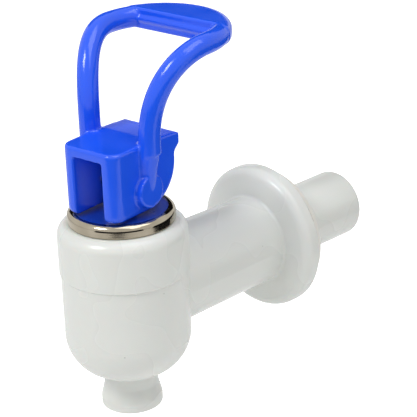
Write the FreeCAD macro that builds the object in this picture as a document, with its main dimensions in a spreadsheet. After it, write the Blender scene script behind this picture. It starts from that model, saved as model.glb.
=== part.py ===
import FreeCAD, Part
import math
import os

import Sketcher

# Self-closing tap for a bag-in-box or water container, in millimetres.
# The origin is on the inlet spigot's axis, in the plane of the container's wall.
# +Y runs along the spigot into the container, -Y is the front, +Z is up, +X is to the right seen
# from the front. The valve's own axis is vertical, at Y = -reach.

DRIVING_SIZES = {
    # inlet side, turned about the Y axis
    "reach": 54.5,                 # container wall to the valve's axis
    "spigot_dia": 18.2,
    "spigot_length": 26.0,
    "spigot_round": 1.6,
    "register_dia": 19.2,          # shoulder that centres the washer
    "inlet_bore_dia": 13.5,
    "washer_thick": 3.0,
    "washer_front_dia": 37.8,
    "washer_rear_dia": 34.4,
    "flange_dia": 39.2,
    "flange_thick": 5.4,
    "flange_rim_round": 2.6,
    "flange_back_round": 0.5,
    "flange_dish": 0.6,
    "tube_dia_at_flange": 23.6,
    "tube_dia_at_barrel": 24.8,
    "tube_root": 6.0,              # valve axis to the tube's buried end
    # barrel, turned about the valve's axis; heights are measured from the inlet's axis
    "barrel_dia": 32.3,
    "barrel_below": 21.0,
    "dome_round": 11.5,
    "band_dia": 33.0,
    "band_bottom": 7.2,
    "band_step": 0.35,
    "body_top": 20.8,
    "shoulder_round": 3.4,
    "chamber_dia": 22.0,
    "chamber_below": 17.0,
    "chamber_round": 5.0,
    "shelf_height": 12.5,
    "plug_bore_dia": 24.0,
    # spout and seat
    "neck_dia": 14.0,
    "mouth_dia": 15.8,
    "mouth_below": 30.4,
    "mouth_lip": 2.4,
    "flare_height": 6.0,
    "lip_round": 0.7,
    "outlet_dia": 8.4,
    "mouth_bore_dia": 12.4,
    "mouth_bore_height": 6.0,
    "seat_dia": 11.2,
    "seat_below": 9.5,
    # blue plug and metal ring
    "plug_head_dia": 25.6,
    "plug_head_height": 2.9,
    "plug_head_round": 0.8,
    "plug_wall": 2.4,
    "plug_plate": 4.3,
    "hub_wall": 1.2,
    "hub_length": 5.0,
    "ring_dia": 27.3,
    "ring_lip_dia": 23.7,
    "ring_lip_thick": 0.45,
    "ring_round": 1.55,
    "ring_foot_round": 0.4,
    # seat cup
    "rim_thick": 1.3,
    "rim_reach": 2.4,
    "cup_wall": 0.9,
    "cup_clearance": 0.5,
    "cup_waist": 1.0,
    "cup_heel": 4.0,
    # stem, pin and spring
    "stem_dia": 8.0,
    "stem_above_pin": 5.0,
    "stem_top_round": 1.5,
    "collar_dia": 13.8,
    "collar_height": 5.0,
    "collar_thick": 1.6,
    "foot_dia": 7.2,
    "foot_below": 2.5,
    "barb_dia": 5.8,
    "barb_neck_dia": 4.0,
    "barb_neck_length": 3.2,
    "barb_length": 1.9,
    "pin_dia": 3.0,
    "pin_length": 17.0,
    "wire_dia": 1.0,
    "spring_dia": 12.4,
    "spring_turns": 6.5,
    "spring_closed_turns": 0.75,   # at each end
    "spring_steps": 12.0,          # wire sections in each turn
    # lever; its own frame has the pin's axis as X and the pin's centre as origin
    "lever_turn": 6.0,             # degrees about the stem, as the lever stands at rest
    "pin_height": 30.5,
    "saddle_width": 17.9,
    "saddle_front": 11.3,
    "saddle_back": 11.8,
    "saddle_above": 11.9,
    "saddle_below": 6.0,
    "saddle_lip": 1.1,
    "saddle_lip_thick": 3.6,
    "cam_round": 11.0,
    "cheek_front_round": 3.4,
    "cheek_edge_round": 1.5,
    "roof_round": 0.8,
    "roof_thick": 2.5,
    "roof_crease": 3.4,
    "roof_fall": 0.8,
    "slot_width": 9.2,
    "boss_dia": 8.4,
    "boss_face": 10.9,
    "rib_foot_dia": 3.4,
    "socket_end_wall": 2.0,
    "bar_dia": 5.5,
    "leg_foot_out": 9.8,
    "leg_foot_back": 1.0,
    "leg_rise": 14.8,
    "leg_run": 9.0,
    "loop_radius": 16.0,
    "loop_back": 16.4,
    "loop_height": 34.3,
    "pad_front": 7.0,
    "pad_thick": 5.6,
    "pad_rim": 0.06,
    "pad_edge_round": 2.4,
    "pad_front_round": 0.6,
    "bead_dia": 2.0,
    "bead_out": 0.25,
    # clearances
    "turn_fit": 0.06,              # between a shaft and its hole
    "push_fit": 0.1,               # between pieces that are pushed or screwed together
}

WIRE_SIDES = 8                     # flats round the spring's wire


class Size:
    """A length with the sheet expression that gives it, so that both are written once."""

    def __init__(self, value, text):
        self.value = value
        self.text = text

    def _join(self, other, sign, result):
        other = as_size(other)
        return Size(result(self.value, other.value), "(%s %s %s)" % (self.text, sign, other.text))

    def __add__(self, other):
        return self._join(other, "+", lambda a, b: a + b)

    def __sub__(self, other):
        return self._join(other, "-", lambda a, b: a - b)

    def __mul__(self, other):
        return self._join(other, "*", lambda a, b: a * b)

    def __truediv__(self, other):
        return self._join(other, "/", lambda a, b: a / b)

    def __neg__(self):
        return as_size(0) - self


def as_size(number):
    """Turn a plain number into a Size; a Size passes unchanged."""
    return number if isinstance(number, Size) else Size(float(number), repr(number))


class Sizes:
    """The spreadsheet of driving sizes, each readable as an attribute."""

    def __init__(self, document, values):
        self.sheet = document.addObject("Spreadsheet::Sheet", "Sizes")
        self.values = values
        for row, (alias, value) in enumerate(values.items(), start=1):
            self.sheet.set("A%d" % row, alias)
            self.sheet.set("B%d" % row, str(value))
            self.sheet.setAlias("B%d" % row, alias)
        document.recompute()

    def __getattr__(self, alias):
        if alias in self.values:
            return Size(self.values[alias], "Sizes." + alias)
        raise AttributeError(alias)


doc = FreeCAD.newDocument("tap")
s = Sizes(doc, DRIVING_SIZES)


# ---------------------------------------------------------------- building helpers

def bind(feature, prop, size):
    """Tie one property of a feature to a size of the sheet."""
    feature.setExpression(prop, as_size(size).text)


def new_body(label):
    body = doc.addObject("PartDesign::Body", label)
    body.Label = label
    return body


def origin_item(body, role):
    return next(item for item in body.Origin.OriginFeatures if item.Role == role)


def rounded_corner(before, here, after, radius):
    """Tangent points, centre and turning sense of a corner that is rounded to a radius."""
    inward = (here - before).normalize()
    outward = (after - here).normalize()
    turn = math.atan2(inward.x * outward.y - inward.y * outward.x, inward.dot(outward))
    setback = radius * math.tan(abs(turn) / 2)
    start = here - inward * setback
    end = here + outward * setback
    side = 1 if turn > 0 else -1
    centre = start + FreeCAD.Vector(-inward.y, inward.x, 0) * (radius * side)
    return start, end, centre, side


def place_point(sketch, index, position, across, up):
    """Fix a point of the sketch at two sizes measured from the sketch's origin."""
    for kind, axis, size in (("DistanceX", -2, across), ("DistanceY", -1, up)):
        if size.value == 0:
            sketch.addConstraint(Sketcher.Constraint("PointOnObject", index, position, axis))
        else:
            number = sketch.addConstraint(
                Sketcher.Constraint(kind, -1, 1, index, position, size.value))
            bind(sketch, "Constraints[%d]" % number, size)


def outline(body, name, plane, corners, offset=None):
    """Sketch a closed outline on an origin plane of the body.

    Each corner is (across, up), or (across, up, radius) where the corner is rounded. All are sizes,
    and each one becomes a constraint that is bound to the sheet.
    """
    sketch = body.newObject("Sketcher::SketchObject", name)
    sketch.AttachmentSupport = (origin_item(body, plane), [""])
    sketch.MapMode = "FlatFace"
    if offset is not None:
        bind(sketch, "AttachmentOffset.Base.z", offset)

    corners = [tuple(as_size(item) for item in corner) for corner in corners]
    points = [FreeCAD.Vector(corner[0].value, corner[1].value, 0) for corner in corners]
    count = len(points)
    arcs = {}
    for i, corner in enumerate(corners):
        if len(corner) == 3:
            arcs[i] = rounded_corner(points[i - 1], points[i], points[(i + 1) % count],
                                     corner[2].value)

    for i in range(count):
        j = (i + 1) % count
        start = arcs[i][1] if i in arcs else points[i]
        end = arcs[j][0] if j in arcs else points[j]
        sketch.addGeometry(Part.LineSegment(start, end), False)

    for i, corner in enumerate(corners):
        line_in = (i - 1) % count
        if i not in arcs:
            sketch.addConstraint(Sketcher.Constraint("Coincident", line_in, 2, i, 1))
            place_point(sketch, i, 1, corner[0], corner[1])
            continue
        start, end, centre, side = arcs[i]
        first, last = (start, end) if side > 0 else (end, start)
        circle = Part.Circle(centre, FreeCAD.Vector(0, 0, 1), corner[2].value)
        angles = [math.atan2(p.y - centre.y, p.x - centre.x) for p in (first, last)]
        arc = sketch.addGeometry(Part.ArcOfCircle(circle, angles[0], angles[1]), False)
        ends = (1, 2) if side > 0 else (2, 1)
        sketch.addConstraint(Sketcher.Constraint("Tangent", line_in, 2, arc, ends[0]))
        sketch.addConstraint(Sketcher.Constraint("Tangent", i, 1, arc, ends[1]))
        number = sketch.addConstraint(Sketcher.Constraint("Radius", arc, corner[2].value))
        bind(sketch, "Constraints[%d]" % number, corner[2])
        point = sketch.addGeometry(Part.Point(points[i]), True)
        sketch.addConstraint(Sketcher.Constraint("PointOnObject", point, 1, line_in))
        sketch.addConstraint(Sketcher.Constraint("PointOnObject", point, 1, i))
        place_point(sketch, point, 1, corner[0], corner[1])
    return sketch


def circle_sketch(body, name, plane, across, up, radius, offset=None):
    """Sketch one full circle on an origin plane of the body."""
    sketch = body.newObject("Sketcher::SketchObject", name)
    sketch.AttachmentSupport = (origin_item(body, plane), [""])
    sketch.MapMode = "FlatFace"
    if offset is not None:
        bind(sketch, "AttachmentOffset.Base.z", offset)
    across, up, radius = as_size(across), as_size(up), as_size(radius)
    centre = FreeCAD.Vector(across.value, up.value, 0)
    ring = sketch.addGeometry(Part.Circle(centre, FreeCAD.Vector(0, 0, 1), radius.value), False)
    number = sketch.addConstraint(Sketcher.Constraint("Radius", ring, radius.value))
    bind(sketch, "Constraints[%d]" % number, radius)
    if across.value == 0 and up.value == 0:
        sketch.addConstraint(Sketcher.Constraint("Coincident", ring, 3, -1, 1))
    else:
        place_point(sketch, ring, 3, across, up)
    return sketch


def turned(body, name, sketch, kind="PartDesign::Revolution"):
    """Turn a sketch through a full circle about its own vertical axis."""
    feature = body.newObject(kind, name)
    feature.Profile = sketch
    feature.ReferenceAxis = (sketch, ["V_Axis"])
    feature.Angle = 360
    doc.recompute()
    return feature


def extruded(body, name, sketch, length, kind="PartDesign::Pad", midplane=False, reverse=False):
    """Extrude a sketch by a length, to one side or half to each side."""
    feature = body.newObject(kind, name)
    feature.Profile = sketch
    bind(feature, "Length", length)
    feature.SideType = "Symmetric" if midplane else "One side"
    feature.Reversed = reverse
    doc.recompute()
    return feature


def edges_where(feature, wanted):
    """Names of a feature's edges whose ends and middle all pass a test."""
    names = []
    for number, edge in enumerate(feature.Shape.Edges, start=1):
        first, last = edge.ParameterRange
        probes = [edge.valueAt(first + (last - first) * step / 4) for step in range(5)]
        if all(wanted(point) for point in probes):
            names.append("Edge%d" % number)
    return names


def rounded(body, name, feature, wanted, radius):
    """Fillet every edge of a feature that passes a test."""
    fillet = body.newObject("PartDesign::Fillet", name)
    fillet.Base = (feature, edges_where(feature, wanted))
    bind(fillet, "Radius", radius)
    doc.recompute()
    return fillet


def near(value, size):
    return abs(value - size.value) < 1e-4


# ---------------------------------------------------------------- valve body

def build_valve_body():
    """Barrel, spout, inlet tube, flange and spigot: one moulding."""
    body = new_body("valve_body")
    flange_back = -s.washer_thick
    flange_front = flange_back - s.flange_thick

    barrel = outline(body, "barrel_outline", "XZ_Plane", [
        (0, -s.barrel_below),
        (s.barrel_dia / 2, -s.barrel_below, s.dome_round),
        (s.barrel_dia / 2, s.band_bottom),
        (s.band_dia / 2, s.band_bottom + s.band_step),
        (s.band_dia / 2, s.body_top, s.shoulder_round),
        (0, s.body_top),
    ], offset=s.reach)
    turned(body, "barrel", barrel)

    flare_top = -s.mouth_below + s.flare_height
    spout = outline(body, "spout_outline", "XZ_Plane", [
        (0, -s.mouth_below),
        (s.mouth_dia / 2, -s.mouth_below, s.lip_round),
        (s.mouth_dia / 2, -s.mouth_below + s.mouth_lip, s.lip_round * 3),
        (s.neck_dia / 2, flare_top, s.lip_round * 4),
        (s.neck_dia / 2, -s.barrel_below + s.dome_round / 3),
        (0, -s.barrel_below + s.dome_round / 3),
    ], offset=s.reach)
    turned(body, "spout", spout)

    inlet = outline(body, "inlet_outline", "XY_Plane", [
        (0, s.tube_root - s.reach),
        (s.tube_dia_at_barrel / 2, s.tube_root - s.reach),
        (s.tube_dia_at_flange / 2, flange_front, s.flange_rim_round / 3),
        (s.flange_dia / 2, flange_front + s.flange_dish, s.flange_rim_round),
        (s.flange_dia / 2, flange_back, s.flange_back_round),
        (s.register_dia / 2, flange_back),
        (s.register_dia / 2, 0),
        (s.spigot_dia / 2, 0),
        (s.spigot_dia / 2, s.spigot_length, s.spigot_round),
        (0, s.spigot_length),
    ])
    turned(body, "inlet", inlet)

    overrun = s.lip_round
    mouth_taper_top = -s.mouth_below + s.mouth_bore_height
    chamber = outline(body, "chamber_outline", "XZ_Plane", [
        (0, -s.mouth_below - overrun),
        (s.mouth_bore_dia / 2, -s.mouth_below - overrun),
        (s.mouth_bore_dia / 2, -s.mouth_below),
        (s.outlet_dia / 2, mouth_taper_top),
        (s.outlet_dia / 2, -s.seat_below),
        (s.seat_dia / 2, -s.seat_below),
        (s.seat_dia / 2, -s.chamber_below),
        (s.chamber_dia / 2, -s.chamber_below, s.chamber_round),
        (s.chamber_dia / 2, s.shelf_height),
        (s.plug_bore_dia / 2, s.shelf_height),
        (s.plug_bore_dia / 2, s.body_top + overrun),
        (0, s.body_top + overrun),
    ], offset=s.reach)
    turned(body, "chamber", chamber, "PartDesign::Groove")

    bore = outline(body, "bore_outline", "XY_Plane", [
        (0, -s.reach),
        (s.inlet_bore_dia / 2, -s.reach),
        (s.inlet_bore_dia / 2, s.spigot_length + overrun),
        (0, s.spigot_length + overrun),
    ])
    turned(body, "inlet_bore", bore, "PartDesign::Groove")
    return body


def build_flange_washer():
    """Soft tapered washer between the flange and the container's wall."""
    body = new_body("flange_washer")
    hole = s.register_dia / 2 + s.push_fit
    section = outline(body, "washer_outline", "XY_Plane", [
        (hole, -s.washer_thick),
        (s.washer_front_dia / 2, -s.washer_thick),
        (s.washer_rear_dia / 2, 0, s.flange_back_round),
        (hole, 0),
    ])
    turned(body, "washer", section)
    return body


# ---------------------------------------------------------------- plug, ring and seat cup

def plug_top():
    return s.body_top + s.plug_head_height


def spring_top():
    return plug_top() - s.plug_plate


def build_bonnet():
    """Blue screw plug: closes the barrel, guides the stem and clamps the seat cup's rim."""
    body = new_body("bonnet")
    guide = s.stem_dia / 2 + s.turn_fit
    skirt = s.plug_bore_dia / 2 - s.push_fit
    skirt_foot = s.shelf_height + s.rim_thick
    section = outline(body, "bonnet_outline", "XZ_Plane", [
        (guide, spring_top() - s.hub_length),
        (guide + s.hub_wall, spring_top() - s.hub_length),
        (guide + s.hub_wall, spring_top()),
        (skirt - s.plug_wall, spring_top()),
        (skirt - s.plug_wall, skirt_foot),
        (skirt, skirt_foot),
        (skirt, s.body_top),
        (s.plug_head_dia / 2, s.body_top),
        (s.plug_head_dia / 2, plug_top(), s.plug_head_round),
        (guide, plug_top()),
    ], offset=s.reach)
    turned(body, "bonnet_turned", section)
    return body


def build_trim_ring():
    """Bright metal ring pressed over the plug's head, with a rolled outer edge."""
    body = new_body("trim_ring")
    inside = s.plug_head_dia / 2 + s.push_fit
    ring_top = plug_top() + s.ring_lip_thick
    section = outline(body, "ring_outline", "XZ_Plane", [
        (inside, s.body_top),
        (s.ring_dia / 2, s.body_top, s.ring_foot_round),
        (s.ring_dia / 2, ring_top, s.ring_round),
        (s.ring_lip_dia / 2, ring_top),
        (s.ring_lip_dia / 2, plug_top()),
        (inside, plug_top(), s.plug_head_round),
    ], offset=s.reach)
    turned(body, "ring_turned", section)
    return body


def build_seat_cup():
    """Silicone cup: its rim is clamped, its foot closes the seat and holds the stem's barb."""
    body = new_body("seat_cup")
    rim_out = s.plug_bore_dia / 2 - s.push_fit
    skirt_top_out = s.chamber_dia / 2 - s.cup_clearance
    waist_out = s.collar_dia / 2 + s.cup_waist + s.cup_wall
    foot_out = s.seat_dia / 2
    barb_top = -s.foot_below - s.barb_neck_length
    barb_foot = barb_top - s.barb_length - s.push_fit
    socket = s.barb_neck_dia / 2 + s.push_fit / 2
    section = outline(body, "cup_outline", "XZ_Plane", [
        (0, -s.seat_below),
        (foot_out, -s.seat_below),
        (foot_out, -s.cup_heel, s.cup_wall),
        (waist_out, -s.cup_heel + s.cup_wall * 2, s.cup_wall * 2),
        (skirt_top_out, s.shelf_height),
        (rim_out, s.shelf_height),
        (rim_out, s.shelf_height + s.rim_thick),
        (rim_out - s.rim_reach, s.shelf_height + s.rim_thick),
        (skirt_top_out - s.cup_wall, s.shelf_height),
        (waist_out - s.cup_wall, -s.cup_heel + s.cup_wall * 3, s.cup_wall),
        (foot_out - s.cup_wall, -s.foot_below),
        (socket, -s.foot_below),
        (socket, barb_top),
        (s.barb_dia / 2 + s.push_fit / 2, barb_top),
        (s.barb_dia / 2 + s.push_fit / 2, barb_foot),
        (0, barb_foot),
    ], offset=s.reach)
    turned(body, "cup_turned", section)
    return body


# ---------------------------------------------------------------- stem, pin and spring

def turn_about_stem(item):
    """Stand a piece of the lever's group at the lever's resting angle."""
    item.Placement = FreeCAD.Placement(
        FreeCAD.Vector(0, 0, 0), FreeCAD.Rotation(FreeCAD.Vector(0, 0, 1), 0))
    bind(item, "Placement.Base.y", -s.reach)
    bind(item, "Placement.Rotation.Angle", s.lever_turn)


def build_stem():
    """Plunger: guided by the plug, pushed down by the spring, lifted by the lever's pin."""
    body = new_body("stem")
    radius = s.stem_dia / 2
    barb_top = -s.foot_below - s.barb_neck_length
    section = outline(body, "stem_outline", "XZ_Plane", [
        (0, barb_top - s.barb_length),
        (s.barb_neck_dia / 2, barb_top - s.barb_length),
        (s.barb_dia / 2, barb_top),
        (s.barb_neck_dia / 2, barb_top),
        (s.barb_neck_dia / 2, -s.foot_below),
        (s.foot_dia / 2, -s.foot_below),
        (s.foot_dia / 2, s.collar_height - s.collar_thick * 2, s.collar_thick / 2),
        (s.collar_dia / 2, s.collar_height - s.collar_thick),
        (s.collar_dia / 2, s.collar_height),
        (radius, s.collar_height),
        (radius, s.pin_height + s.stem_above_pin, s.stem_top_round),
        (0, s.pin_height + s.stem_above_pin),
    ])
    turned(body, "stem_turned", section)
    hole = circle_sketch(body, "pin_hole_outline", "YZ_Plane", 0, s.pin_height, s.pin_dia / 2)
    extruded(body, "pin_hole", hole, s.collar_dia, "PartDesign::Pocket", midplane=True)
    turn_about_stem(body)
    return body


def build_cross_pin():
    """Steel pin through the stem's head; its ends turn in the lever's blind sockets."""
    body = new_body("cross_pin")
    section = circle_sketch(body, "pin_outline", "YZ_Plane", 0, s.pin_height, s.pin_dia / 2)
    extruded(body, "pin", section, s.pin_length, midplane=True)
    turn_about_stem(body)
    return body


def coil_height(turn):
    """Height of the wire's centre above its lower end after a number of turns.

    The first and last turns lie close, as on any compression spring with closed ends.
    """
    closed = s.spring_closed_turns.value
    total = s.spring_turns.value
    closed_pitch = s.wire_dia.value + s.push_fit.value
    span = spring_top().value - s.collar_height.value - s.wire_dia.value
    open_pitch = (span - 2 * closed * closed_pitch) / (total - 2 * closed)
    low = min(turn, closed) * closed_pitch
    middle = min(max(turn - closed, 0), total - 2 * closed) * open_pitch
    high = max(turn - total + closed, 0) * closed_pitch
    return low + middle + high


def wire_section(turn):
    """Section of the spring's wire, square to its path, as a regular polygon."""
    radius = s.spring_dia.value / 2
    angle = 2 * math.pi * turn
    outward = FreeCAD.Vector(math.cos(angle), math.sin(angle), 0)
    step = 1 / s.spring_steps.value
    rise = (coil_height(turn + step) - coil_height(turn - step)) / (2 * step)
    along = FreeCAD.Vector(-outward.y, outward.x, rise / (2 * math.pi * radius)).normalize()
    upward = outward.cross(along)
    wire_radius = s.wire_dia.value / 2
    base = s.collar_height.value + wire_radius
    centre = outward * radius + FreeCAD.Vector(0, 0, base + coil_height(turn))
    corners = []
    for side in range(WIRE_SIDES):
        around = 2 * math.pi * (side + 0.5) / WIRE_SIDES
        offset = outward * math.cos(around) + upward * math.sin(around)
        corners.append(centre + offset * wire_radius)
    return Part.makePolygon(corners + corners[:1])


def build_return_spring():
    """Compression spring with closed ends, between the plug's plate and the stem's collar."""
    spring = doc.addObject("Part::Feature", "return_spring")
    spring.Label = "return_spring"
    count = round(s.spring_turns.value * s.spring_steps.value)
    turns = [s.spring_turns.value * i / count for i in range(count + 1)]
    spring.Shape = Part.makeLoft([wire_section(turn) for turn in turns], True, True)
    turn_about_stem(spring)
    return spring


# ---------------------------------------------------------------- lever

def build_saddle():
    """Saddle over the stem's head: roof, two cheeks with a cam edge, and bosses."""
    body = new_body("saddle")
    half = s.saddle_width / 2
    lip_under = s.saddle_above - s.saddle_lip_thick
    side = outline(body, "saddle_side", "YZ_Plane", [
        (-s.saddle_front, -s.saddle_below),
        (s.saddle_back, -s.saddle_below, s.cam_round),
        (s.saddle_back, lip_under - s.saddle_lip),
        (s.saddle_back + s.saddle_lip, lip_under),
        (s.saddle_back + s.saddle_lip, s.saddle_above),
        (-s.saddle_front, s.saddle_above),
    ])
    block = extruded(body, "saddle_block", side, s.saddle_width, midplane=True)

    def front_upright(point):
        return near(abs(point.x), half) and near(point.y, -s.saddle_front)

    fronts = rounded(body, "front_uprights", block, front_upright, s.cheek_front_round)

    def roof_edge(point):
        on_side = abs(point.x) > half.value - s.cheek_front_round.value - 1e-4
        on_front = point.y < s.cheek_front_round.value - s.saddle_front.value + 1e-4
        return near(point.z, s.saddle_above) and (on_side or on_front)

    roof = rounded(body, "roof_edges", fronts, roof_edge, s.roof_round)

    def under_edge(point):
        low = point.z < lip_under.value - s.saddle_lip.value
        front = point.y < s.cheek_front_round.value - s.saddle_front.value + 1e-4
        side_edge = near(abs(point.x), half)
        bottom_front = near(point.z, -s.saddle_below) and front
        return low and (side_edge or bottom_front)

    under = rounded(body, "under_edges", roof, under_edge, s.cheek_edge_round)

    fall = outline(body, "roof_fall_outline", "YZ_Plane", [
        (s.roof_crease, s.saddle_above),
        (s.saddle_back + s.saddle_lip * 2, s.saddle_above - s.roof_fall),
        (s.saddle_back + s.saddle_lip * 2, s.saddle_above + s.roof_fall),
        (s.roof_crease, s.saddle_above + s.roof_fall),
    ])
    extruded(body, "roof_fall", fall, s.saddle_width * 2, "PartDesign::Pocket", midplane=True)

    boss = circle_sketch(body, "boss_outline", "YZ_Plane", 0, 0, s.boss_dia / 2)
    extruded(body, "bosses", boss, s.boss_face * 2, midplane=True)

    slot = outline(body, "slot_outline", "XZ_Plane", [
        (-s.slot_width / 2, -s.saddle_below * 2),
        (s.slot_width / 2, -s.saddle_below * 2),
        (s.slot_width / 2, s.saddle_above - s.roof_thick),
        (-s.slot_width / 2, s.saddle_above - s.roof_thick),
    ])
    extruded(body, "slot", slot, s.saddle_back * 4, "PartDesign::Pocket", midplane=True)
    return body


def leg_path(side):
    """Centre line of one leg: a free curve off the saddle, then along the thumb pad's rim."""
    up = FreeCAD.Vector(0, 0, 1)
    foot = FreeCAD.Vector(
        side * s.leg_foot_out.value, s.leg_foot_back.value, s.saddle_above.value)
    root = foot - up * s.roof_thick.value
    top = FreeCAD.Vector(
        side * s.loop_radius.value, s.loop_back.value, s.loop_height.value)
    arrival = FreeCAD.Vector(0, s.leg_run.value, 0)
    curve = Part.BezierCurve()
    curve.setPoles([foot, foot + up * s.leg_rise.value, top - arrival, top])

    centre = FreeCAD.Vector(0, s.loop_back.value, s.loop_height.value)
    reach_in = math.asin((s.pad_front.value + s.bar_dia.value / 2) / s.loop_radius.value)
    rim = [centre + FreeCAD.Vector(side * math.cos(angle), math.sin(angle), 0) * s.loop_radius.value
           for angle in (0, reach_in / 2, reach_in)]
    return Part.Wire([
        Part.LineSegment(root, foot).toShape(),
        curve.toShape(),
        Part.Arc(*rim).toShape(),
    ])


def build_leg(side, name):
    """One round bar of the loop, swept along its centre line."""
    path = doc.addObject("Part::Feature", name + "_path")
    path.Shape = leg_path(side)
    section = doc.addObject("Part::Circle", name + "_section")
    bind(section, "Radius", s.bar_dia / 2)
    bind(section, "Placement.Base.x", s.leg_foot_out * side)
    bind(section, "Placement.Base.y", s.leg_foot_back)
    bind(section, "Placement.Base.z", s.saddle_above - s.roof_thick)
    doc.recompute()
    leg = doc.addObject("Part::Sweep", name)
    leg.Sections = [section]
    leg.Spine = (path, ["Edge%d" % (n + 1) for n in range(len(path.Shape.Edges))])
    leg.Solid = True
    leg.Frenet = False
    return leg


def build_rib(side, name):
    """Tapered round rib that carries a leg down the cheek to its boss."""
    rib = doc.addObject("Part::Cone", name)
    foot = FreeCAD.Vector(side * (s.boss_face.value - s.rib_foot_dia.value / 2), 0, 0)
    head = FreeCAD.Vector(
        side * s.leg_foot_out.value, s.leg_foot_back.value, s.saddle_above.value)
    along = head - foot
    bind(rib, "Radius1", s.rib_foot_dia / 2)
    bind(rib, "Radius2", s.bar_dia / 2)
    rib.Height = along.Length
    rib.Placement = FreeCAD.Placement(
        foot, FreeCAD.Rotation(FreeCAD.Vector(0, 0, 1), along))
    return rib


def build_thumb_pad():
    """D-shaped pad that closes the loop, with a bead along its straight front edge."""
    body = new_body("thumb_pad")
    outer = s.loop_radius + s.bar_dia / 2 + s.pad_rim
    sketch = body.newObject("Sketcher::SketchObject", "pad_outline")
    sketch.AttachmentSupport = (origin_item(body, "XY_Plane"), [""])
    sketch.MapMode = "FlatFace"
    bind(sketch, "AttachmentOffset.Base.z", s.loop_height - s.pad_thick / 2)
    reach = math.asin(s.pad_front.value / outer.value)
    centre = FreeCAD.Vector(0, s.loop_back.value, 0)
    circle = Part.Circle(centre, FreeCAD.Vector(0, 0, 1), outer.value)
    arc = sketch.addGeometry(Part.ArcOfCircle(circle, reach, math.pi - reach), False)
    ends = [sketch.getPoint(arc, 2), sketch.getPoint(arc, 1)]
    chord = sketch.addGeometry(Part.LineSegment(ends[0], ends[1]), False)
    sketch.addConstraint(Sketcher.Constraint("Coincident", arc, 2, chord, 1))
    sketch.addConstraint(Sketcher.Constraint("Coincident", arc, 1, chord, 2))
    sketch.addConstraint(Sketcher.Constraint("Horizontal", chord))
    number = sketch.addConstraint(Sketcher.Constraint("Radius", arc, outer.value))
    bind(sketch, "Constraints[%d]" % number, outer)
    place_point(sketch, arc, 3, as_size(0), s.loop_back)
    number = sketch.addConstraint(Sketcher.Constraint(
        "DistanceY", -1, 1, chord, 1, (s.loop_back + s.pad_front).value))
    bind(sketch, "Constraints[%d]" % number, s.loop_back + s.pad_front)
    plate = extruded(body, "pad_plate", sketch, s.pad_thick)

    def rim_edge(point):
        level = abs(point.z - s.loop_height.value) > s.pad_thick.value / 2 - 1e-4
        across = math.hypot(point.x, point.y - s.loop_back.value)
        return level and abs(across - outer.value) < 1e-3

    rim = rounded(body, "pad_rim_edges", plate, rim_edge, s.pad_edge_round)

    def front_edge(point):
        level = abs(point.z - s.loop_height.value) > s.pad_thick.value / 2 - 1e-4
        return level and near(point.y, s.loop_back + s.pad_front)

    rounded(body, "pad_front_edges", rim, front_edge, s.pad_front_round)
    return body


def build_bead():
    """Half-round bead across the pad's front face."""
    bead = doc.addObject("Part::Cylinder", "pad_bead")
    half_length = s.loop_radius.value - s.bar_dia.value / 2
    bind(bead, "Radius", s.bead_dia / 2)
    bind(bead, "Height", (s.loop_radius - s.bar_dia / 2) * 2)
    bead.Placement = FreeCAD.Placement(
        FreeCAD.Vector(-half_length, 0, 0), FreeCAD.Rotation(FreeCAD.Vector(0, 1, 0), 90))
    bind(bead, "Placement.Base.x", -(s.loop_radius - s.bar_dia / 2))
    bind(bead, "Placement.Base.y", s.loop_back + s.pad_front + s.bead_out)
    bind(bead, "Placement.Base.z", s.loop_height)
    return bead


def build_socket_core():
    """Core pin that leaves the two blind sockets for the cross pin, one in each cheek."""
    core = doc.addObject("Part::Cylinder", "socket_core")
    core.Placement = FreeCAD.Placement(
        FreeCAD.Vector(0, 0, 0), FreeCAD.Rotation(FreeCAD.Vector(0, 1, 0), 90))
    bind(core, "Radius", s.pin_dia / 2 + s.turn_fit)
    bind(core, "Height", (s.boss_face - s.socket_end_wall) * 2)
    bind(core, "Placement.Base.x", s.socket_end_wall - s.boss_face)
    return core


def build_handle():
    """The whole lever: one blue moulding, with its sockets cut once the ribs are on."""
    pieces = [build_saddle(), build_thumb_pad(), build_bead()]
    for side, name in ((1, "right"), (-1, "left")):
        pieces.append(build_leg(side, name + "_leg"))
        pieces.append(build_rib(side, name + "_rib"))
    doc.recompute()
    blank = doc.addObject("Part::MultiFuse", "handle_blank")
    blank.Shapes = pieces
    blank.Refine = True
    handle = doc.addObject("Part::Cut", "handle")
    handle.Label = "handle"
    handle.Base = blank
    handle.Tool = build_socket_core()
    doc.recompute()
    turn_about_stem(handle)
    bind(handle, "Placement.Base.z", s.pin_height)
    return handle


# ---------------------------------------------------------------- build, check and write

nodes = [
    build_valve_body(),
    build_flange_washer(),
    build_bonnet(),
    build_trim_ring(),
    build_seat_cup(),
    build_stem(),
    build_cross_pin(),
    build_return_spring(),
    build_handle(),
]
doc.recompute()

for item in doc.Objects:
    if "Invalid" in item.State or "Error" in item.State:
        raise RuntimeError("%s did not compute: %s" % (item.Name, item.State))
for node in nodes:
    if node.Shape.isNull() or not node.Shape.isValid():
        raise RuntimeError("%s has no valid shape" % node.Label)

os.makedirs("parts", exist_ok=True)
for node in nodes:
    box = node.Shape.BoundBox
    print("%-14s solids %d  volume %9.1f  x %6.1f %6.1f  y %6.1f %6.1f  z %6.1f %6.1f" % (
        node.Label, len(node.Shape.Solids), node.Shape.Volume,
        box.XMin, box.XMax, box.YMin, box.YMax, box.ZMin, box.ZMax))
    node.Shape.exportStep("parts/%s.step" % node.Label)
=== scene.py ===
import enum
import logging
import math
from dataclasses import dataclass, replace
from typing import Any, Optional, Union

import bmesh
import bpy
from mathutils import Matrix, Vector


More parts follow.
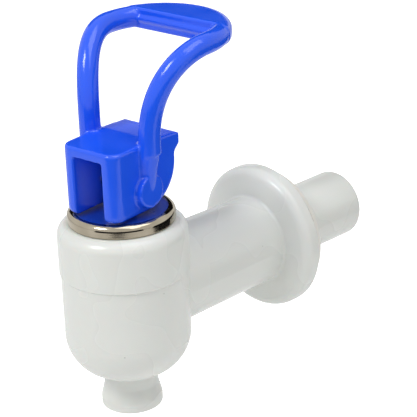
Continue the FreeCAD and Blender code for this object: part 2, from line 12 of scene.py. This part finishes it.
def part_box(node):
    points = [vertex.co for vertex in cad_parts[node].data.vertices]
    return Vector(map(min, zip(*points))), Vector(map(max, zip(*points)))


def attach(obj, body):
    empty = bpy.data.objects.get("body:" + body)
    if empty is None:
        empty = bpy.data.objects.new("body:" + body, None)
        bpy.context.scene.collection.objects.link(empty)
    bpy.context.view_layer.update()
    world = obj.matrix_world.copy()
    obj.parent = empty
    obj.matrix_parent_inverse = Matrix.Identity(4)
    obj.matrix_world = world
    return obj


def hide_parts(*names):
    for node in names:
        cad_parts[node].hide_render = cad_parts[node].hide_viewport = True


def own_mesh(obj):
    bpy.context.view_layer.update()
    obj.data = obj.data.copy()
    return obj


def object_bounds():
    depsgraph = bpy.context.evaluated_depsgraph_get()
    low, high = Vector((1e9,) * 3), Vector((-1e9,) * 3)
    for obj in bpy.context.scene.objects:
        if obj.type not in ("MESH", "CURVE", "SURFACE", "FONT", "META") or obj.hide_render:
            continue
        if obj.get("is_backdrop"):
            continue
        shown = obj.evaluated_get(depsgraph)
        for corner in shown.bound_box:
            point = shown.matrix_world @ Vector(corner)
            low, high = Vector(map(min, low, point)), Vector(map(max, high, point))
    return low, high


# Looks of a self-closing container tap: white valve body, bright ring and blue loop lever.
# Each sub-assembly is a class that dresses its solids or builds its own meshes, and each finish is
# a small class named for the real material. Lengths are in metres.

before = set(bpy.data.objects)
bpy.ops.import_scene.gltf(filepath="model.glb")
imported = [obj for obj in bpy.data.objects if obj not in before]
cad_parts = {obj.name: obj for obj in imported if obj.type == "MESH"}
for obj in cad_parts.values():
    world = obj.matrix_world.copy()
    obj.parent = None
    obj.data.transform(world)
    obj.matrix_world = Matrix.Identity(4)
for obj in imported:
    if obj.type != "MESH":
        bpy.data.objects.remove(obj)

LOG = logging.getLogger("tap")
MM = 0.001
WELD = 0.005 * MM                      # vertices closer than this become one
SHARP_TURN = math.radians(32)          # an edge that turns by more stays crisp
CLOUD_LOW, CLOUD_HIGH = 0.2, 0.8       # part of a slow noise's range that is used
MARKS_LOW, MARKS_HIGH = 0.3, 0.7       # the same, for fine marks
GLOSS_LEAST, GLOSS_MOST = 0.7, 1.3     # a metal's roughness, across its marks


class Group(enum.Enum):
    """The moving groups of the tap, by the names of their bodies."""

    TAP = "tap_body"
    SPRING = "spring_group"
    PLUNGER = "plunger"
    LEVER = "lever"


class Lay(enum.Enum):
    """Which way the fine marks of a worked metal run."""

    ROUND_Z = "round the upright axis"
    ALONG_X = "round the cross pin"


# ------------------------------------------------------------------ shared helpers


def linear(code: str) -> tuple[float, float, float, float]:
    """Turn an sRGB hex colour into the linear values that a shader takes.

    Args:
        code: Six hex digits after a hash.

    Returns:
        Red, green, blue and an alpha of 1.
    """
    digits = code.lstrip("#")
    parts = [int(digits[i:i + 2], 16) / 255 for i in (0, 2, 4)]
    red, green, blue = (
        p / 12.92 if p <= 0.04045 else ((p + 0.055) / 1.055) ** 2.4 for p in parts
    )
    return (red, green, blue, 1.0)


def add_node(
    tree: bpy.types.NodeTree,
    kind: str,
    inputs: Optional[dict[Union[str, int], Any]] = None,
    **settings: Any,
) -> bpy.types.Node:
    """Add a shader node, set its properties, and fill or link its inputs.

    Args:
        tree: The node tree that gets the node.
        kind: The node's type name.
        inputs: Value or output socket for each input, by name or number.
        settings: Properties of the node itself.

    Returns:
        The new node.
    """
    node = tree.nodes.new(kind)
    for name, value in settings.items():
        setattr(node, name, value)
    for key, value in (inputs or {}).items():
        if isinstance(value, bpy.types.NodeSocket):
            tree.links.new(value, node.inputs[key])
        else:
            node.inputs[key].default_value = value
    return node


def direction(azimuth: float, elevation: float) -> Vector:
    """Unit vector towards a place round the tap.

    Args:
        azimuth: Degrees round from the front, towards +X.
        elevation: Degrees above the horizon.

    Returns:
        The direction.
    """
    turn, tilt = math.radians(azimuth), math.radians(elevation)
    return Vector(
        (math.sin(turn) * math.cos(tilt), -math.cos(turn) * math.cos(tilt), math.sin(tilt))
    )


def dress(obj: bpy.types.Object, material: bpy.types.Material) -> None:
    """Give an object one material in every slot.

    Args:
        obj: A CAD node or a new piece.
        material: The finish it takes.
    """
    if not obj.material_slots:
        obj.data.materials.append(material)
    for holder in obj.material_slots:
        holder.material = material


def mesh_object(name: str, shape: bmesh.types.BMesh) -> bpy.types.Object:
    """Turn a finished bmesh into an object at the origin, and free the bmesh.

    It is shaded smooth, and an edge that turns by more than SHARP_TURN stays crisp.

    Args:
        name: The new object's name.
        shape: The closed mesh, placed in the part's frame.

    Returns:
        The object, linked to the scene.
    """
    bmesh.ops.remove_doubles(shape, verts=shape.verts, dist=WELD)
    bmesh.ops.recalc_face_normals(shape, faces=shape.faces)
    mesh = bpy.data.meshes.new(name)
    shape.to_mesh(mesh)
    shape.free()
    mesh.polygons.foreach_set("use_smooth", [True] * len(mesh.polygons))
    mesh.set_sharp_from_angle(angle=SHARP_TURN)
    obj = bpy.data.objects.new(name, mesh)
    bpy.context.scene.collection.objects.link(obj)
    return obj


# ------------------------------------------------------------------ finishes


@dataclass(frozen=True)
class Finish:
    """A real material and how its surface was made.

    A pattern's scale is one over its real spacing, because Object coordinates are in metres.
    """

    name: str
    roughness: float
    pale: str
    deep: str

    def start(self) -> tuple[bpy.types.Material, bpy.types.NodeTree, bpy.types.NodeSocket]:
        """Make an empty node material.

        Returns:
            The material, its tree, and its Object coordinates.
        """
        material = bpy.data.materials.new(self.name)
        material.use_nodes = True
        tree = material.node_tree
        tree.nodes.clear()
        place = add_node(tree, "ShaderNodeTexCoord").outputs["Object"]
        return material, tree, place

    def colour(
        self, tree: bpy.types.NodeTree, cloud: bpy.types.NodeSocket
    ) -> bpy.types.NodeSocket:
        """Let the colour drift between its deep and its pale shade.

        Args:
            tree: The material's tree.
            cloud: Slow noise, mostly between CLOUD_LOW and CLOUD_HIGH.

        Returns:
            The drifting colour.
        """
        spread = {"Value": cloud, "From Min": CLOUD_LOW, "From Max": CLOUD_HIGH}
        share = add_node(tree, "ShaderNodeMapRange", spread).outputs["Result"]
        wanted = {0: share, 6: linear(self.deep), 7: linear(self.pale)}
        return add_node(tree, "ShaderNodeMix", wanted, data_type="RGBA").outputs[2]

    def shade(
        self,
        tree: bpy.types.NodeTree,
        relief: bpy.types.NodeSocket,
        depth: float,
        varying: dict[str, bpy.types.NodeSocket],
        constants: dict[str, Any],
    ) -> None:
        """Add the relief, the shader and the output.

        Args:
            tree: The material's tree.
            relief: Height of the fine relief, from 0 to 1.
            depth: Depth of that relief.
            varying: Sockets that follow a pattern.
            constants: Values that are the same all over, set on the shader itself.
        """
        bump = add_node(
            tree, "ShaderNodeBump", {"Height": relief, "Strength": 1.0, "Distance": depth}
        )
        inputs: dict[Union[str, int], Any] = {"Normal": bump.outputs["Normal"]}
        inputs.update(varying)
        inputs.update(constants)
        shader = add_node(tree, "ShaderNodeBsdfPrincipled", inputs)
        add_node(tree, "ShaderNodeOutputMaterial", {"Surface": shader.outputs["BSDF"]})


@dataclass(frozen=True)
class MouldedPlastic(Finish):
    """Injection-moulded thermoplastic.

    It shows slow clouding where the melt met, a faint relief copied from the mould, and, where it
    has them, sparse specks of scorched resin.
    """

    ior: float
    cloud_spacing: float
    grain_spacing: float
    grain_depth: float
    gloss_swing: float
    subsurface: float = 0.0
    speck: Optional[str] = None
    speck_spacing: float = 7 * MM
    speck_radius: float = 0.16 * MM
    speck_core: float = 0.5
    speck_rim: float = 1.5
    speck_strength: float = 0.7
    subsurface_depth: float = 1.5 * MM

    def specks(
        self,
        tree: bpy.types.NodeTree,
        place: bpy.types.NodeSocket,
        colour: bpy.types.NodeSocket,
    ) -> bpy.types.NodeSocket:
        """Scatter dark specks, one near the middle of some of the cells.

        Args:
            tree: The material's tree.
            place: Coordinates in metres.
            colour: The colour between the specks.

        Returns:
            The speckled colour.
        """
        cells = add_node(
            tree, "ShaderNodeTexVoronoi", {"Vector": place, "Scale": 1.0 / self.speck_spacing}
        )
        radius = self.speck_radius / self.speck_spacing
        spot = {
            "Value": cells.outputs["Distance"],
            "From Min": radius * self.speck_core,
            "From Max": radius * self.speck_rim,
            "To Min": self.speck_strength,
            "To Max": 0.0,
        }
        share = add_node(tree, "ShaderNodeMapRange", spot).outputs["Result"]
        wanted = {0: share, 6: colour, 7: linear(self.speck or self.deep)}
        return add_node(tree, "ShaderNodeMix", wanted, data_type="RGBA").outputs[2]

    def build(self) -> bpy.types.Material:
        """Build the material.

        Returns:
            The node material.
        """
        material, tree, place = self.start()
        clouding = {"Vector": place, "Scale": 1.0 / self.cloud_spacing, "Detail": 1.0}
        cloud = add_node(tree, "ShaderNodeTexNoise", clouding).outputs["Fac"]
        colour = self.colour(tree, cloud)
        if self.speck is not None:
            colour = self.specks(tree, place, colour)
        spread = {
            "Value": cloud,
            "From Min": CLOUD_LOW,
            "From Max": CLOUD_HIGH,
            "To Min": self.roughness - self.gloss_swing,
            "To Max": self.roughness + self.gloss_swing,
        }
        gloss = add_node(tree, "ShaderNodeMapRange", spread).outputs["Result"]
        grain = {"Vector": place, "Scale": 1.0 / self.grain_spacing}
        relief = add_node(tree, "ShaderNodeTexNoise", grain).outputs["Fac"]
        constants = {
            "IOR": self.ior,
            "Subsurface Weight": self.subsurface,
            "Subsurface Scale": self.subsurface_depth,
        }
        self.shade(
            tree, relief, self.grain_depth, {"Base Color": colour, "Roughness": gloss}, constants
        )
        return material


@dataclass(frozen=True)
class WorkedMetal(Finish):
    """Metal with fine marks that run one way, from turning, drawing or pressing."""

    lay: Lay
    mark_spacing: float
    mark_depth: float
    cloud_spacing: float
    centre: tuple[float, float, float] = (0.0, 0.0, 0.0)

    def along_marks(
        self, tree: bpy.types.NodeTree, place: bpy.types.NodeSocket
    ) -> bpy.types.NodeSocket:
        """Coordinates that change fast across the marks and hardly along them.

        Args:
            tree: The material's tree.
            place: Coordinates in metres.

        Returns:
            Distance from the axis, and place along it, as a vector.
        """
        back = tuple(-value for value in self.centre)
        centred = add_node(tree, "ShaderNodeMapping", {"Vector": place, "Location": back})
        parts = add_node(
            tree, "ShaderNodeSeparateXYZ", {"Vector": centred.outputs["Vector"]}
        ).outputs
        along, first, second = (
            (parts["Z"], parts["X"], parts["Y"])
            if self.lay is Lay.ROUND_Z
            else (parts["X"], parts["Y"], parts["Z"])
        )
        flat = add_node(tree, "ShaderNodeCombineXYZ", {"X": first, "Y": second})
        away = add_node(
            tree, "ShaderNodeVectorMath", {0: flat.outputs["Vector"]}, operation="LENGTH"
        )
        return add_node(
            tree, "ShaderNodeCombineXYZ", {"X": away.outputs["Value"], "Y": along}
        ).outputs["Vector"]

    def build(self) -> bpy.types.Material:
        """Build the material.

        Returns:
            The node material. A metal keeps the default IOR.
        """
        material, tree, place = self.start()
        clouding = {"Vector": place, "Scale": 1.0 / self.cloud_spacing}
        cloud = add_node(tree, "ShaderNodeTexNoise", clouding).outputs["Fac"]
        colour = self.colour(tree, cloud)
        lines = {
            "Vector": self.along_marks(tree, place),
            "Scale": 1.0 / self.mark_spacing,
            "Detail": 1.0,
        }
        marks = add_node(tree, "ShaderNodeTexNoise", lines).outputs["Fac"]
        spread = {
            "Value": marks,
            "From Min": MARKS_LOW,
            "From Max": MARKS_HIGH,
            "To Min": self.roughness * GLOSS_LEAST,
            "To Max": self.roughness * GLOSS_MOST,
        }
        gloss = add_node(tree, "ShaderNodeMapRange", spread).outputs["Result"]
        self.shade(
            tree,
            marks,
            self.mark_depth,
            {"Base Color": colour, "Roughness": gloss},
            {"Metallic": 1.0},
        )
        return material


# Polypropylene from a spark-eroded mould: off-white, satin, with a soft edge to its highlights.
BODY_PLASTIC = MouldedPlastic(
    name="polypropylene_white_satin",
    roughness=0.27,
    pale="#dfe1dc",
    deep="#dbddd8",
    ior=1.49,
    cloud_spacing=16 * MM,
    grain_spacing=0.6 * MM,
    grain_depth=0.006 * MM,
    gloss_swing=0.03,
    subsurface=0.08,
    speck="#8f8d84",
)

# Low-density polyethylene: softer and duller than the body, faintly warm.
WASHER_PLASTIC = MouldedPlastic(
    name="polyethylene_washer",
    roughness=0.48,
    pale="#eceae3",
    deep="#e2dfd6",
    ior=1.51,
    cloud_spacing=9 * MM,
    grain_spacing=0.5 * MM,
    grain_depth=0.008 * MM,
    gloss_swing=0.06,
    subsurface=0.08,
)

# ABS from a polished mould: deep saturated blue with long clear highlights.
LEVER_PLASTIC = MouldedPlastic(
    name="abs_blue_polished",
    roughness=0.17,
    pale="#1a5af2",
    deep="#1754ea",
    ior=1.53,
    cloud_spacing=11 * MM,
    grain_spacing=1.4 * MM,
    grain_depth=0.01 * MM,
    gloss_swing=0.05,
)

# The same resin in the screw plug, which is turned out of a finer, duller cavity. Its darker blue
# is painted shade, for the plug sits shaded between the lever's cheeks.
SHADED_PLUG_PLASTIC = MouldedPlastic(
    name="abs_blue_plug_painted_shade",
    roughness=0.32,
    pale="#1545b6",
    deep="#113da4",
    ior=1.53,
    cloud_spacing=6 * MM,
    grain_spacing=0.5 * MM,
    grain_depth=0.008 * MM,
    gloss_swing=0.05,
)

# Acetal homopolymer: a dense, slightly creamy white that feels waxy.
STEM_PLASTIC = MouldedPlastic(
    name="acetal_natural",
    roughness=0.3,
    pale="#f0efe8",
    deep="#e6e4da",
    ior=1.48,
    cloud_spacing=5 * MM,
    grain_spacing=0.4 * MM,
    grain_depth=0.005 * MM,
    gloss_swing=0.04,
    subsurface=0.1,
)

# Silicone rubber: milky and matt, with the bloom of a released moulding.
CUP_RUBBER = MouldedPlastic(
    name="silicone_milky",
    roughness=0.55,
    pale="#e4e6e4",
    deep="#d3d6d4",
    ior=1.41,
    cloud_spacing=5 * MM,
    grain_spacing=0.3 * MM,
    grain_depth=0.01 * MM,
    gloss_swing=0.08,
    subsurface=0.25,
)

# Nickel-plated brass, pressed and rolled: a warm grey metal that mirrors in bands. Its tan cast
# and dark tone are partly the metal's own warmth and partly painted reflection of brown, dim
# surroundings. The real polishing rings lie under 0.05 mm apart; they are drawn coarser, so that
# they show.
RING_METAL = WorkedMetal(
    name="nickel_plated_brass",
    roughness=0.1,
    pale="#b8af9d",
    deep="#968d7b",
    lay=Lay.ROUND_Z,
    mark_spacing=0.25 * MM,
    mark_depth=0.002 * MM,
    cloud_spacing=5 * MM,
    centre=(0.0, -54.5 * MM, 0.0),
)

# Stainless spring wire, drawn: plain grey. Its die marks are too fine to tell apart, so they are
# drawn coarser, as marks round the coil.
WIRE_METAL = WorkedMetal(
    name="stainless_spring_wire",
    roughness=0.28,
    pale="#c4c4c2",
    deep="#a9a9a6",
    lay=Lay.ROUND_Z,
    mark_spacing=0.2 * MM,
    mark_depth=0.003 * MM,
    cloud_spacing=4 * MM,
    centre=(0.0, -54.5 * MM, 0.0),
)

# Stainless pin, centreless ground: bright, with rings round its length that are drawn coarser than
# the real ones, so that they show.
PIN_METAL = WorkedMetal(
    name="stainless_ground_pin",
    roughness=0.2,
    pale="#d0d0ce",
    deep="#bcbcb8",
    lay=Lay.ALONG_X,
    mark_spacing=0.2 * MM,
    mark_depth=0.002 * MM,
    cloud_spacing=3 * MM,
    centre=(0.0, -54.5 * MM, 30.5 * MM),
)


# ------------------------------------------------------------------ sub-assemblies


@dataclass
class SubAssembly:
    """A group of CAD nodes that are dressed together."""

    def dress_nodes(self, finishes: dict[str, Finish]) -> None:
        """Dress CAD nodes.

        Args:
            finishes: The finish of each node, by the node's name.
        """
        for node, finish in finishes.items():
            dress(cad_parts[node], finish.build())
            LOG.info("%s dressed in %s", node, finish.name)


@dataclass
class ValveBody(SubAssembly):
    """The white moulding and its washer."""

    speck_spacing: float = 7 * MM
    speck_radius: float = 0.16 * MM

    def build(self) -> None:
        """Dress the moulding, with its specks of scorched resin, and its washer."""
        moulding = replace(
            BODY_PLASTIC, speck_spacing=self.speck_spacing, speck_radius=self.speck_radius
        )
        self.dress_nodes({"valve_body": moulding, "flange_washer": WASHER_PLASTIC})


@dataclass
class Closure(SubAssembly):
    """Screw plug, bright ring and silicone cup."""

    ring_mark_spacing: float = 0.25 * MM

    def build(self) -> None:
        """Dress the plug and ring, and put a cup copied from the seat cup's solid."""
        ring = replace(RING_METAL, mark_spacing=self.ring_mark_spacing)
        # The plug's darker blue is painted shade.
        self.dress_nodes({"bonnet": SHADED_PLUG_PLASTIC, "trim_ring": ring})
        self.build_cup()

    def build_cup(self) -> None:
        """Copy the cup's solid into a mesh of its own, dress it and hang it on the tap's body."""
        shape = bmesh.new()
        shape.from_mesh(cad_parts["seat_cup"].data)
        cup = mesh_object("seat_cup_skirt", shape)
        dress(cup, CUP_RUBBER.build())
        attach(cup, Group.TAP.value)
        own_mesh(cup)
        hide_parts("seat_cup")
        LOG.info("seat_cup_skirt built")


@dataclass
class ReturnSpring:
    """Compression spring of round wire, with a close turn at each end."""

    wire: float = 1.0 * MM
    turns: float = 6.5
    closed_turns: float = 0.75
    closed_gap: float = 0.1 * MM
    steps_per_turn: int = 48
    wire_sides: int = 16

    def coil(
        self,
        shape: bmesh.types.BMesh,
        tip: list[bmesh.types.BMVert],
        centre: Vector,
        turns: float,
        rise: float,
    ) -> list[bmesh.types.BMVert]:
        """Wind the wire on for some turns.

        Args:
            shape: The mesh that holds the wire.
            tip: The ring of vertices at the wire's end.
            centre: A point on the coil's axis.
            turns: How far to wind.
            rise: Climb over that winding.

        Returns:
            The ring of vertices at the new end.
        """
        steps = max(1, round(turns * self.steps_per_turn))
        edges = [e for e in shape.edges if all(v in tip for v in e.verts)]
        made = bmesh.ops.spin(
            shape,
            geom=tip + edges,
            cent=centre,
            axis=(0, 0, 1),
            dvec=(0, 0, rise / steps),
            angle=turns * math.tau,
            steps=steps,
            use_merge=False,
            use_duplicate=False,
        )
        return [item for item in made["geom_last"] if isinstance(item, bmesh.types.BMVert)]

    def build(self) -> None:
        """Wind the spring, dress it, and hang it on the spring group's body."""
        low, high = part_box("return_spring")
        centre = (low + high) / 2
        radius = (high.x - low.x) / 2 - self.wire / 2
        height = high.z - low.z
        closed_rise = self.closed_turns * (self.wire + self.closed_gap)
        open_turns = self.turns - 2 * self.closed_turns
        open_rise = height - self.wire - 2 * closed_rise

        shape = bmesh.new()
        start = Matrix.Translation((centre.x + radius, centre.y, low.z + self.wire / 2))
        tip = bmesh.ops.create_circle(
            shape,
            cap_ends=False,
            radius=self.wire / 2,
            segments=self.wire_sides,
            matrix=start @ Matrix.Rotation(math.pi / 2, 4, "X"),
        )["verts"]
        first = list(tip)
        for turns, rise in (
            (self.closed_turns, closed_rise),
            (open_turns, open_rise),
            (self.closed_turns, closed_rise),
        ):
            tip = self.coil(shape, tip, centre, turns, rise)
        for ring in (first, tip):
            rim = [e for e in shape.edges if e.is_boundary and all(v in ring for v in e.verts)]
            bmesh.ops.edgenet_fill(shape, edges=rim)
        spring = mesh_object("return_spring_coil", shape)
        dress(spring, WIRE_METAL.build())
        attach(spring, Group.SPRING.value)
        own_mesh(spring)
        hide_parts("return_spring")
        LOG.info("return_spring_coil built, %.1f turns", self.turns)


@dataclass
class Plunger(SubAssembly):
    """The stem and the pin through its head."""

    pin_mark_spacing: float = 0.2 * MM

    def build(self) -> None:
        """Dress the stem and its pin."""
        pin = replace(PIN_METAL, mark_spacing=self.pin_mark_spacing)
        self.dress_nodes({"stem": STEM_PLASTIC, "cross_pin": pin})


@dataclass
class Lever(SubAssembly):
    """The blue lever: saddle, loop and thumb pad in one moulding.

    It is skinned over its solid, with broad ribs down the cheeks, so that every crease has the
    small radius that a moulding has. Places are in the lever's own frame, from the pin's centre.
    """

    skin_cell: float = 0.3 * MM
    soften_rounds: int = 6
    soften_share: float = 0.5
    rest_turn: float = math.radians(6.0)
    pin_centre: tuple[float, float, float] = (0.0, -54.5 * MM, 30.5 * MM)
    rib_foot_out: float = 8.1 * MM
    rib_foot_up: float = 3.4 * MM
    rib_foot_radius: float = 2.3 * MM
    rib_head_out: float = 9.8 * MM
    rib_head_back: float = 1.0 * MM
    rib_head_up: float = 11.9 * MM
    rib_head_radius: float = 2.75 * MM
    rib_sides: int = 48

    def add_rib(self, shape: bmesh.types.BMesh, side: int) -> None:
        """Add the round rib that carries a leg down its cheek and ends inside its boss.

        Args:
            shape: The mesh that gets the rib.
            side: 1 for the right cheek and -1 for the left.
        """
        foot = Vector((side * self.rib_foot_out, 0.0, self.rib_foot_up))
        head = Vector((side * self.rib_head_out, self.rib_head_back, self.rib_head_up))
        along = head - foot
        stand = Matrix.Translation(self.pin_centre) @ Matrix.Rotation(self.rest_turn, 4, "Z")
        lean = along.to_track_quat("Z", "Y").to_matrix().to_4x4()
        bmesh.ops.create_cone(
            shape,
            cap_ends=True,
            segments=self.rib_sides,
            radius1=self.rib_foot_radius,
            radius2=self.rib_head_radius,
            depth=along.length,
            matrix=stand @ Matrix.Translation((foot + head) / 2) @ lean,
        )

    def skin(self, lever: bpy.types.Object) -> None:
        """Put one closed skin over all of the lever's forms, and soften it.

        Args:
            lever: The object that gets the skin as its mesh.
        """
        cells = lever.modifiers.new("skin", "REMESH")
        cells.mode = "VOXEL"
        cells.voxel_size = self.skin_cell
        soften = lever.modifiers.new("soften", "SMOOTH")
        soften.factor = self.soften_share
        soften.iterations = self.soften_rounds
        graph = bpy.context.evaluated_depsgraph_get()
        mesh = bpy.data.meshes.new_from_object(lever.evaluated_get(graph))
        lever.modifiers.clear()
        lever.data = mesh
        mesh.polygons.foreach_set("use_smooth", [True] * len(mesh.polygons))

    def build(self) -> None:
        """Copy the lever's solid, add its ribs, skin it and dress it."""
        shape = bmesh.new()
        shape.from_mesh(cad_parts["handle"].data)
        for side in (1, -1):
            self.add_rib(shape, side)
        lever = mesh_object("lever_moulding", shape)
        self.skin(lever)
        dress(lever, LEVER_PLASTIC.build())
        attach(lever, Group.LEVER.value)
        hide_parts("handle")
        LOG.info("lever_moulding built, %d faces", len(lever.data.polygons))


# ------------------------------------------------------------------ studio


@dataclass
class SoftBox:
    """A square area lamp that points at the tap."""

    name: str
    azimuth: float
    elevation: float
    distance: float
    size: float
    power: float

    def build(self, target: Vector) -> None:
        """Hang the lamp.

        Args:
            target: The point it faces.
        """
        back = direction(self.azimuth, self.elevation)
        data = bpy.data.lights.new(self.name, "AREA")
        data.shape = "SQUARE"
        data.size = self.size
        data.energy = self.power
        lamp = bpy.data.objects.new(self.name, data)
        lamp.location = target + back * self.distance
        lamp.rotation_mode = "QUATERNION"
        lamp.rotation_quaternion = (-back).to_track_quat("-Z", "Y")
        bpy.context.scene.collection.objects.link(lamp)


@dataclass
class Flag:
    """A black card that nothing but reflections see; it casts no shadow."""

    name: str
    azimuth: float
    elevation: float
    distance: float
    width: float
    height: float

    def build(self, target: Vector) -> None:
        """Stand the card.

        Args:
            target: The point it faces.
        """
        back = direction(self.azimuth, self.elevation)
        turn = (-back).to_track_quat("-Z", "Y").to_matrix().to_4x4()
        scale = Matrix.Diagonal((self.width / 2, self.height / 2, 1.0, 1.0))
        shape = bmesh.new()
        place = Matrix.Translation(target + back * self.distance) @ turn @ scale
        bmesh.ops.create_grid(shape, x_segments=1, y_segments=1, size=1.0, matrix=place)
        card = mesh_object(self.name, shape)
        material = bpy.data.materials.new("black_card")
        material.use_nodes = True
        tree = material.node_tree
        tree.nodes.clear()
        felt = add_node(tree, "ShaderNodeBsdfDiffuse", {"Color": linear("#1c1c1e")})
        add_node(tree, "ShaderNodeOutputMaterial", {"Surface": felt.outputs["BSDF"]})
        dress(card, material)
        card.visible_camera = False
        card.visible_diffuse = False
        card.visible_shadow = False
        card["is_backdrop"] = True


@dataclass
class Studio:
    """Floor, sky, lamps and camera. The lens and the sensor's width are in millimetres."""

    azimuth: float = 46.22
    elevation: float = 22.6
    roll: float = -2.36
    aim: tuple[float, float, float] = (0.0, -54.5 * MM, 0.0)
    offset_across: float = -20.84 * MM
    offset_up: float = -21.69 * MM
    distance: float = 464.9 * MM
    lens: float = 158.2446
    sensor: float = 36.0
    floor_drop: float = 30 * MM
    floor_side: float = 6.0
    floor_glow: float = 0.55
    sky_strength: float = 0.46

    def build(self) -> None:
        """Build the studio round the tap."""
        self.build_camera()
        self.build_floor()
        self.build_sky()
        low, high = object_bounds()
        middle = (low + high) / 2
        for lamp in (
            SoftBox("key_lamp", azimuth=-8, elevation=46, distance=0.9, size=0.26, power=3.2),
            SoftBox("fill_lamp", azimuth=80, elevation=48, distance=1.0, size=0.3, power=0.4),
            SoftBox("top_lamp", azimuth=100, elevation=72, distance=0.9, size=0.6, power=2.8),
        ):
            lamp.build(middle)
        for flag in (
            Flag("front_flag", azimuth=40, elevation=-17, distance=0.24, width=0.5, height=0.2),
            Flag("side_flag", azimuth=146, elevation=-22, distance=0.17, width=0.3, height=0.16),
            Flag("far_flag", azimuth=226, elevation=29, distance=0.7, width=0.8, height=0.36),
        ):
            flag.build(middle)
        scene = bpy.context.scene
        scene.view_settings.view_transform = "Standard"
        LOG.info("studio built")

    def build_camera(self) -> None:
        """Stand the camera at its viewing angle, with its roll."""
        turn, lean = math.radians(self.azimuth), math.radians(self.roll)
        back = direction(self.azimuth, self.elevation)
        level = Vector((math.cos(turn), math.sin(turn), 0.0))
        upright = back.cross(level)
        right = level * math.cos(lean) + upright * math.sin(lean)
        top = upright * math.cos(lean) - level * math.sin(lean)
        place = (
            Vector(self.aim)
            - right * self.offset_across
            - top * self.offset_up
            + back * self.distance
        )
        matrix = Matrix((right, top, back)).transposed().to_4x4()
        matrix.translation = place
        data = bpy.data.cameras.new("camera")
        data.sensor_width = self.sensor
        data.lens = self.lens
        data.clip_start = 0.01
        data.clip_end = 50.0
        camera = bpy.data.objects.new("camera", data)
        camera.matrix_world = matrix
        bpy.context.scene.collection.objects.link(camera)
        bpy.context.scene.camera = camera

    def build_floor(self) -> None:
        """Lay a pale painted floor under the tap."""
        low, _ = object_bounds()
        shape = bmesh.new()
        bmesh.ops.create_grid(
            shape,
            x_segments=1,
            y_segments=1,
            size=self.floor_side / 2,
            matrix=Matrix.Translation((0.0, self.aim[1], low.z - self.floor_drop)),
        )
        floor = mesh_object("floor", shape)
        material = bpy.data.materials.new("painted_floor")
        material.use_nodes = True
        tree = material.node_tree
        tree.nodes.clear()
        paint = add_node(
            tree, "ShaderNodeBsdfDiffuse", {"Color": linear("#ffffff"), "Roughness": 0.5}
        )
        seen = add_node(tree, "ShaderNodeLightPath").outputs["Is Camera Ray"]
        strength = add_node(
            tree, "ShaderNodeMath", {0: seen, 1: self.floor_glow}, operation="MULTIPLY"
        ).outputs["Value"]
        glow = add_node(
            tree, "ShaderNodeEmission", {"Color": linear("#ffffff"), "Strength": strength}
        )
        both = add_node(
            tree, "ShaderNodeAddShader", {0: paint.outputs["BSDF"], 1: glow.outputs["Emission"]}
        )
        add_node(tree, "ShaderNodeOutputMaterial", {"Surface": both.outputs["Shader"]})
        dress(floor, material)
        floor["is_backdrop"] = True

    def build_sky(self) -> None:
        """Light the scene evenly, and show plain white wherever the background is seen."""
        world = bpy.data.worlds.new("studio_sky")
        world.use_nodes = True
        tree = world.node_tree
        tree.nodes.clear()
        rays = add_node(tree, "ShaderNodeLightPath").outputs
        seen = rays["Is Camera Ray"]
        for name in ("Is Glossy Ray", "Is Transmission Ray"):
            seen = add_node(
                tree, "ShaderNodeMath", {0: seen, 1: rays[name]}, operation="MAXIMUM"
            ).outputs["Value"]
        strength = add_node(
            tree,
            "ShaderNodeMapRange",
            {"Value": seen, "To Min": self.sky_strength, "To Max": 1.0},
        ).outputs["Result"]
        light = add_node(
            tree, "ShaderNodeBackground", {"Color": linear("#ffffff"), "Strength": strength}
        )
        add_node(tree, "ShaderNodeOutputWorld", {"Surface": light.outputs["Background"]})
        bpy.context.scene.world = world


def main() -> None:
    """Build the tap's looks and its studio."""
    logging.basicConfig(level=logging.INFO, format="%(name)s: %(message)s")
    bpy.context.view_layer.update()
    for assembly in (ValveBody(), Closure(), ReturnSpring(), Plunger(), Lever()):
        assembly.build()
    Studio().build()


if __name__ == "__main__":
    main()
